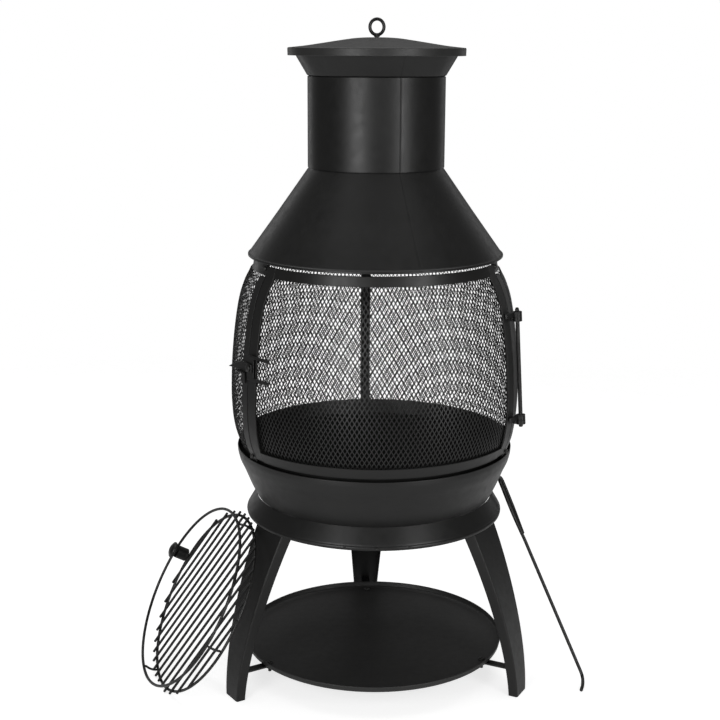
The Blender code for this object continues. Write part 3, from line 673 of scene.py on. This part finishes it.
# --------------------------------------------------------------------------- legs

def leg_radius(z):
    """How far a leg's web is from the axis at a height."""
    return LEG_R0 - LEG_DROP * (np.maximum(z, 0.0) / LEG_SPAN) ** LEG_POWER


def make_leg(place, azimuth):
    """A tapered channel folded from sheet, web outwards, curving in to the bowl."""
    out, side = (np.array(way) for way in outward(math.radians(azimuth)))
    rows = []
    for z in np.linspace(0.0, LEG_TOP, 60):
        half = LEG_HALF[0] + LEG_HALF[1] * z / LEG_SPAN
        depth = LEG_FLANGE[0] + LEG_FLANGE[1] * z / LEG_SPAN
        fold = fillet([(-depth, half), (0.0, half), (0.0, -half), (-depth, -half)], 0.0034, 6)
        inner = beside(fold, -LEG_THICK, False)
        loop = np.vstack([np.array([tuple(p) for p in fold]), inner[::-1]])
        late = min(max((z - LEG_RISE_FROM) / (LEG_TOP - LEG_RISE_FROM), 0.0), 1.0)
        height = z + LEG_RISE * (1 + loop[:, 0] / depth) * late
        radius = leg_radius(height) + loop[:, 0]
        rows.append(radius[:, None] * out + loop[:, 1:] * side
                    + height[:, None] * np.array([0.0, 0.0, 1.0]))
    grid = np.array(rows)
    columns = grid.shape[1]
    faces = grid_faces(len(rows), columns, False, True)
    last = (len(rows) - 1) * columns
    for base in (0, last):
        faces += [[base + k, base + k + 1, base + columns - 2 - k, base + columns - 1 - k]
                  for k in range(columns // 2 - 1)]
    piece(f"leg_{place}_folded", grid.reshape(-1, 3), faces, "stand_paint", "root",
          "leg_" + place)


# --------------------------------------------------------------------------- firebox

def make_bands():
    """The band under the hood, open at the door, and the one inside the bowl's rim."""
    top = [(0.2120, 0.7336), (0.2105, 0.7372), (0.2096, 0.7420), (0.2095, 0.7620)]
    piece("screen_top_band_rolled",
          *arc_sheet(fillet(top, 0.0015, 3), POST_RIGHT - TOP_BAND_OVERLAP,
                     POST_LEFT + 2 * math.pi + TOP_BAND_OVERLAP),
          "frame_paint", "root", "screen_top_band")
    bottom = [(0.2308, 0.4080), (0.2338, 0.4255), (0.2366, 0.4340)]
    piece("screen_bottom_band_rolled", *turned(fillet(bottom, 0.004, 4)), "frame_paint", "root",
          "screen_bottom_band")


def make_posts():
    """Three flat posts bent to the barrel, each bolted at its foot and to the hood's bracket."""
    for place, middle in (("left", POST_LEFT), ("rear", POST_REAR), ("right", POST_RIGHT)):
        piece(f"post_{place}_bent", *upright_bar(middle, -POST_HALF, POST_HALF, *POST_Z),
              "frame_paint", "root", "post_" + place)
        out, _ = outward(middle)
        foot = (polar(float(barrel(POST_BOLT_Z)) + BAR_OUT, middle, POST_BOLT_Z)
                + out * POST_BOLT_OFF)
        screw("post_bolt_" + place, foot, out, *POST_SCREW)
        softened("hood_bracket_" + place, 0.0004, "bracket_paint")
        head = out * HOOD_BOLT_R + Vector((0, 0, HOOD_BOLT_Z))
        screw("hood_bolt_" + place, head, out, *HOOD_SCREW)


def make_panels():
    """The two fixed panels of mesh, from post to post."""
    for side, start, end in (("right", POST_RIGHT, POST_REAR + 2 * math.pi),
                             ("left", POST_REAR, POST_LEFT)):
        piece(f"mesh_panel_{side}_expanded",
              *expanded(start + MESH_EDGE, end - MESH_EDGE, *PANEL_Z),
              "mesh_paint", "root", "mesh_panel_" + side, sharp=20.0)


# --------------------------------------------------------------------------- hood, flue, lid

def make_upper_works():
    """Hood, flue and flared collar, each rolled from one sheet and lapped at the same seam."""
    hood = [(0.2191, 0.7556), (0.2191, 0.7580), (0.2165, 0.7595), (0.1665, 0.8290),
            (0.1165, 0.9000), (0.1142, 0.9030), (0.1142, 0.9200)]
    hood = fillet(hood, [0, 0.001, 0.0016, 0.002, 0.0016, 0.0016, 0], 5)
    hood = curl_start(hood, 0.0012, 190, 7)
    piece("hood_cone_rolled", *lapped(hood, 0.17), "body_paint", "root", "hood_cone")
    flue = [(0.1160, 0.9040), (0.1160, 0.9060), (0.1160, 1.0520), (0.1160, 1.0540)]
    piece("flue_pipe_rolled", *lapped(flue, 0.116), "body_paint", "root", "flue_pipe")
    collar = [(0.1142, 1.0380), (0.1142, 1.0550), (0.1166, 1.0560), (0.1300, 1.0785),
              (0.1413, 1.0975)]
    collar = curl(fillet(collar, [0, 0.001, 0.0012, 0.01, 0], 5), 0.0010, -150, 6)
    piece("flue_collar_rolled", *lapped(collar, 0.13, ease=0.04), "body_paint", "root",
          "flue_collar")


def make_lid():
    """A shallow cone with a skirt, with a ring on a threaded neck and a nut under it."""
    line = [(0.1490, 1.08895), (0.1493, 1.1000), (0.1480, 1.1010), (0.1200, 1.1038),
            (0.0590, 1.1133), (0.0380, 1.1163), (0.0200, 1.1175), (0.0, 1.1178)]
    line = fillet(line, [0, 0.0010, 0.0010, 0.012, 0.012, 0.008, 0.008, 0], 5)
    line = curl_start(line, 0.0010, 170, 6)
    # The lid wears a lighter paint than the body: painted light on its top.
    piece("lid_cap_pressed", *turned(line), "lid_paint", "lid", "lid_cap")
    loop = [(LID_RING[0] * math.cos(t), 0, LID_RING_Z + LID_RING[1] * math.sin(t))
            for t in np.linspace(0, 2 * math.pi, 65)[:-1]]
    neck = fillet([(0, 1.1120), (0.0030, 1.1120), (0.0030, 1.1182), (0.0050, 1.1182),
                   (0.0048, 1.1200), (0.0034, 1.1222), (0.0026, 1.1236), (0, 1.1236)], 0.0006, 3)
    piece("lid_ring_welded", *joined([wire(loop, LID_WIRE, 18, True), solid_turn(neck)]),
          "wire_paint", "lid", "lid_ring")
    softened("lid_nut", 0.0004, "fastener_steel")


# --------------------------------------------------------------------------- door, hinge, latch

def make_door():
    """Two stiles and two rails of flat bar round a panel of mesh."""
    low, high = DOOR_Z
    left, right = (POST_LEFT, STILE_FAR + GAP), (POST_RIGHT, -STILE_FAR - GAP)
    piece("door_latch_stile_bent", *upright_bar(POST_LEFT, STILE_NEAR, STILE_FAR, low, high),
          "frame_paint", "door", "door_latch_stile")
    piece("door_hinge_stile_bent", *upright_bar(POST_RIGHT, -STILE_FAR, -STILE_NEAR, low, high),
          "frame_paint", "door", "door_hinge_stile")
    piece("door_bottom_rail_bent", *cross_rail(left, right, low - RAIL_DROP, low + RAIL),
          "frame_paint", "door", "door_bottom_rail")
    piece("door_top_rail_bent", *cross_rail(left, right, high - RAIL, high), "frame_paint",
          "door", "door_top_rail")
    piece("door_mesh_expanded", *expanded(POST_LEFT + DOOR_MESH_EDGE, POST_RIGHT - DOOR_MESH_EDGE,
                                          low + 0.001, high - 0.001),
          "mesh_paint", "door", "door_mesh", sharp=20.0)


def make_hinge():
    """Two lugs and two knuckles on a long pin that leans in at the top."""
    for place in ("bottom", "top"):
        softened("hinge_lug_" + place, 0.0007, "bracket_paint", 3)
        softened("knuckle_" + place, 0.0006, "bracket_paint", 3)
    low = polar(HINGE_LOW[1], HINGE_AZ, HINGE_LOW[0])
    high = polar(HINGE_HIGH[1], HINGE_AZ, HINGE_HIGH[0])
    along = (high - low).normalized()
    foot = low + along * ((PIN_Z[0] - low.z) / along.z)
    length = (PIN_Z[1] - PIN_Z[0]) / along.z
    loop = [(0, 0), (PIN_R - 0.0008, 0), (PIN_R, 0.0012), (PIN_R, length - 0.0030),
            (0.0022, length), (0, length + 0.0004)]
    piece("hinge_rod_turned", *solid_turn(fillet(loop, 0.0006, 3), axes_at(foot, along)),
          "frame_paint", "root", "hinge_rod")


def stepped(line, step):
    """The same line with points no further apart than a step."""
    made = []
    for a, b in zip(line, line[1:]):
        count = math.ceil((b - a).length / step)
        made += [a.lerp(b, k / count) for k in range(count)]
    return [*made, line[-1]]


def plate(outline, near, far, corner, bent, hole=0.0):
    """A plate on the latch's frame: an outline of (along the barrel, up) points between two
    distances from the stile's face, flat or bent round the barrel, with or without a pivot hole."""
    face, (out, side) = float(barrel(LATCH_FACE_Z)) + BAR_OUT, outward(LATCH_AZ)
    middle = Vector(outline[0]).lerp(Vector(outline[1]), 0.5)
    ring = stepped(fillet([middle, *outline[1:], outline[0], middle], corner, 4), 0.002)
    loops = [(depth, beside(ring, inset, False)[:-1]) for depth, inset in (
        (near, EDGE_BREAK), (near + EDGE_BREAK, 0.0), (far - EDGE_BREAK, 0.0), (far, EDGE_BREAK))]
    if hole:
        round_hole = [Vector(p).normalized() * hole for p in loops[1][1]]
        loops = [(near, round_hole), *loops, (far, round_hole)]
    rows = []
    for depth, loop in loops:
        if bent:
            row = [polar(face + depth, LATCH_AZ + u / face, LATCH_Z + v) for u, v in loop]
        else:
            row = [out * (face + depth) + side * u + Vector((0, 0, LATCH_Z + v)) for u, v in loop]
        rows.append([tuple(p) for p in row])
    grid = np.array(rows)
    if hole:
        return grid.reshape(-1, 3), grid_faces(*grid.shape[:2], True, True)
    return capped_sweep(grid)


def make_latch():
    """A pronged bracket and a pointed lever on the door, and the lever's rest on the post."""
    bracket = [(-0.0100, -0.0215), (0.0500, -0.0215), (0.0500, -0.0158), (0.0110, -0.0158),
               (0.0110, 0.0158), (0.0490, 0.0158), (0.0490, 0.0215), (-0.0100, 0.0215)]
    piece("latch_bracket_pressed", *plate(bracket, *BRACKET_DEPTHS, 0.0018, True),
          "bracket_paint", "door", "latch_bracket")
    lever = [(0.0085, -0.0072), (0.0085, 0.0072), (-0.0150, 0.0080), (-0.0330, 0.0050),
             (-0.0500, -0.0020), (-0.0612, -0.0072), (-0.0612, -0.0082), (-0.0480, -0.0070),
             (-0.0300, -0.0074), (-0.0150, -0.0074)]
    piece("latch_lever_cut", *plate(lever, *LEVER_DEPTHS, 0.0020, False, PIVOT_HOLE),
          "frame_paint", frame["nodes"]["latch_lever"]["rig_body"], "latch_lever")
    softened("latch_rest", 0.0005, "bracket_paint")
    softened("latch_pivot", 0.0004, "fastener_steel")


# --------------------------------------------------------------------------- grate and poker

def grate_frame():
    """X level in the grate's plane, Z out of it, at the main ring's middle."""
    normal = Vector((math.sin(GRATE_LEAN) * math.cos(GRATE_AZ),
                     math.sin(GRATE_LEAN) * math.sin(GRATE_AZ), math.cos(GRATE_LEAN)))
    return axes_at(GRATE_AT, normal, Vector((0, 0, 1)).cross(normal).normalized())


def make_grate():
    """A ring with parallel bars welded over it, and a second ring held off by links and a knob."""
    place = grate_frame()

    def spot(turn, height, radius=GRATE_R):
        return place @ Vector((radius * math.cos(turn), radius * math.sin(turn), height))

    def circle(height):
        return [spot(2 * math.pi * k / 96, height) for k in range(96)]

    along = Vector((math.cos(GRATE_BAR_TURN), math.sin(GRATE_BAR_TURN), 0))
    across = Vector((-along.y, along.x, 0))
    spacing = 2 * GRATE_R / (GRATE_BARS + 0.6)
    parts = [wire(circle(0.0), GRATE_WIRE, 14, True)]
    for k in range(GRATE_BARS):
        offset = (k - (GRATE_BARS - 1) / 2) * spacing
        half = math.sqrt(GRATE_R ** 2 - offset ** 2) + GRATE_BAR_OVERHANG
        middle = across * offset + Vector((0, 0, GRATE_BAR_SEAT))
        low, high = place @ (middle - along * half), place @ (middle + along * half)
        if low.z < GRATE_BAR:
            low = low.lerp(high, (GRATE_BAR - low.z) / (high.z - low.z))
        path = [low.lerp(high, t) for t in (0.0, 0.05, 0.35, 0.65, 0.95, 1.0)]
        parts.append(wire(path, GRATE_BAR, 12))
    piece("grate_bars_welded", *joined(parts), "wire_paint", "grate", "grate_bars")
    piece("grate_stand_ring_bent", *wire(circle(GRATE_SPACE), GRATE_WIRE, 14, True),
          "wire_paint", "grate", "grate_stand_ring")
    near = GRATE_WIRE + GAP
    for k, degrees in enumerate(GRATE_LINKS):
        turn = math.radians(degrees)
        path = [spot(turn, near + 0.001), spot(turn, GRATE_SPACE * 0.3, GRATE_R + 0.0016),
                spot(turn, GRATE_SPACE * 0.55, GRATE_R + 0.0020),
                spot(turn, GRATE_SPACE - near - 0.001)]
        piece(f"grate_link_{k + 1}_bent", *wire(curve_through(path, 5), 0.0020, 12),
              "wire_paint", "grate", f"grate_link_{k + 1}")
    seat = axes_at(spot(GRATE_KNOB, 0), place.col[2].to_3d())
    top = GRATE_SPACE - near
    spacer = fillet([(0, 0.0062), (0.0118, 0.0062), (0.0118, top), (0, top)], 0.0008, 3)
    piece("grate_spacer_turned", *solid_turn(spacer, seat, 40), "bracket_paint", "grate",
          "grate_spacer")
    top = GRATE_SPACE + near
    knob = [(0, top), (0.0138, top), (0.0148, top + 0.0008), (0.0150, top + 0.0028),
            (0.0132, top + 0.0036), (0.0124, top + 0.0034), (0.0112, top + 0.0054),
            (0.0060, top + 0.0074), (0, top + 0.0078)]
    piece("grate_knob_turned", *solid_turn(fillet(knob, 0.0008, 3), seat, 40), "wire_paint",
          "grate", "grate_knob")


def make_poker():
    """Wire with a hook at its foot, folded back on itself into a long narrow handle."""
    bend, top, bow = POKER_BEND, POKER_TOP, POKER_BOW
    along = (top - bend).normalized()
    side = (POKER_SIDE - along * POKER_SIDE.dot(along)).normalized()
    neck = top - along * POKER_HANDLE
    foot = fillet([POKER_TIP, POKER_TIP.lerp(bend, 0.45) + Vector((0.002, 0, -0.0018)), bend,
                   bend + along * 0.06], 0.012, 6)
    path = [top - along * 0.140, neck, neck + along * 0.020 - side * 0.003,
            neck + along * 0.055 - side * 0.005, top - along * (bow + 0.006)]
    centre = top - along * bow + side * bow
    for step in range(1, 8):
        turn = math.pi * step / 8
        path.append(centre - side * bow * math.cos(turn) + along * bow * math.sin(turn))
    path += [centre + side * bow - along * 0.004, neck + along * 0.060 + side * 0.0175,
             neck + along * 0.030 + side * 0.0115, neck + along * 0.010 + side * 0.0075]
    piece("poker_bent", *wire(foot + curve_through(path, 6), POKER_WIRE, 16), "wire_paint",
          "poker", "poker")


# --------------------------------------------------------------------------- stage

def make_stage():
    """A paper floor that fades out to clear."""
    mesh = bpy.data.meshes.new("floor")
    sides = 96
    points = [(FLOOR_R * math.cos(t), FLOOR_R * math.sin(t), FLOOR_Z)
              for t in np.linspace(0, 2 * math.pi, sides, endpoint=False)]
    mesh.from_pydata(points, [], [list(range(sides))])
    floor = bpy.data.objects.new("floor", mesh)
    bpy.context.scene.collection.objects.link(floor)
    mat = bpy.data.materials.new("floor_paper")
    mat.use_nodes = True
    tree = mat.node_tree
    tree.nodes.clear()
    out = tree.nodes.new("ShaderNodeOutputMaterial")
    paper = linked(tree, "ShaderNodeBsdfDiffuse", Color=(*[FLOOR_TONE] * 3, 1.0))
    glow = linked(tree, "ShaderNodeEmission", Color=(1.0, 1.0, 1.0, 1.0))
    path = tree.nodes.new("ShaderNodeLightPath")
    tree.links.new(spread(tree, path.outputs["Is Camera Ray"], *FLOOR_GLOW, 0.0, 1.0),
                   glow.inputs["Strength"])
    lit = tree.nodes.new("ShaderNodeAddShader")
    tree.links.new(paper.outputs[0], lit.inputs[0])
    tree.links.new(glow.outputs[0], lit.inputs[1])
    clear = tree.nodes.new("ShaderNodeBsdfTransparent")
    mix = tree.nodes.new("ShaderNodeMixShader")
    coords = tree.nodes.new("ShaderNodeTexCoord")
    length = tree.nodes.new("ShaderNodeVectorMath")
    length.operation = "LENGTH"
    tree.links.new(coords.outputs["Object"], length.inputs[0])
    fade = spread(tree, length.outputs["Value"], 0.0, 1.0, *FLOOR_FADE)
    tree.links.new(fade, mix.inputs[0])
    tree.links.new(lit.outputs[0], mix.inputs[1])
    tree.links.new(clear.outputs[0], mix.inputs[2])
    tree.links.new(mix.outputs[0], out.inputs["Surface"])
    mesh.materials.append(mat)


def make_world():
    """White to the eye, and a dim grey room to everything that reflects it."""
    world = bpy.data.worlds.new("studio")
    bpy.context.scene.world = world
    world.use_nodes = True
    tree = world.node_tree
    tree.nodes.clear()
    out = tree.nodes.new("ShaderNodeOutputWorld")
    white = linked(tree, "ShaderNodeBackground", Color=(1.0, 1.0, 1.0, 1.0), Strength=1.0)
    room = linked(tree, "ShaderNodeBackground", Color=(1.0, 1.0, 1.0, 1.0), Strength=ROOM_LIGHT)
    path = tree.nodes.new("ShaderNodeLightPath")
    mix = tree.nodes.new("ShaderNodeMixShader")
    tree.links.new(path.outputs["Is Camera Ray"], mix.inputs[0])
    tree.links.new(room.outputs[0], mix.inputs[1])
    tree.links.new(white.outputs[0], mix.inputs[2])
    tree.links.new(mix.outputs[0], out.inputs["Surface"])


def softbox(name, azimuth, distance, height, size, power, aim):
    """A rectangular soft light facing the chiminea."""
    data = bpy.data.lights.new(name, "AREA")
    data.shape = "RECTANGLE"
    data.size, data.size_y = size
    data.energy = power
    lamp = bpy.data.objects.new(name, data)
    at = polar(distance, math.radians(azimuth), height)
    lamp.matrix_world = Matrix.Translation(at) @ (
        (Vector((0, 0, aim)) - at).to_track_quat("-Z", "Y").to_matrix().to_4x4())
    bpy.context.scene.collection.objects.link(lamp)


def make_camera():
    """The photograph's camera, fitted to its rims, axis and feet."""
    data = bpy.data.cameras.new("camera")
    data.lens, data.sensor_width = CAMERA_LENS, 36.0
    camera = bpy.data.objects.new("camera", data)
    camera.matrix_world = Matrix.Translation(CAMERA_AT)
    for degrees, axis in CAMERA_TURNS:
        camera.matrix_world = camera.matrix_world @ Matrix.Rotation(math.radians(degrees), 4, axis)
    bpy.context.scene.collection.objects.link(camera)
    bpy.context.scene.camera = camera
    bpy.context.scene.view_settings.view_transform = "Standard"


def main():
    make_base_ring()
    make_ring_bumps()
    make_bowl()
    make_tray()
    for place, azimuth in LEG_AZ.items():
        make_leg(place, azimuth)
    make_bands()
    make_posts()
    make_panels()
    make_upper_works()
    make_lid()
    make_door()
    make_hinge()
    make_latch()
    make_grate()
    make_poker()
    make_stage()
    make_world()
    for name, values in SOFTBOXES.items():
        softbox(name, *values)
    make_camera()


main()
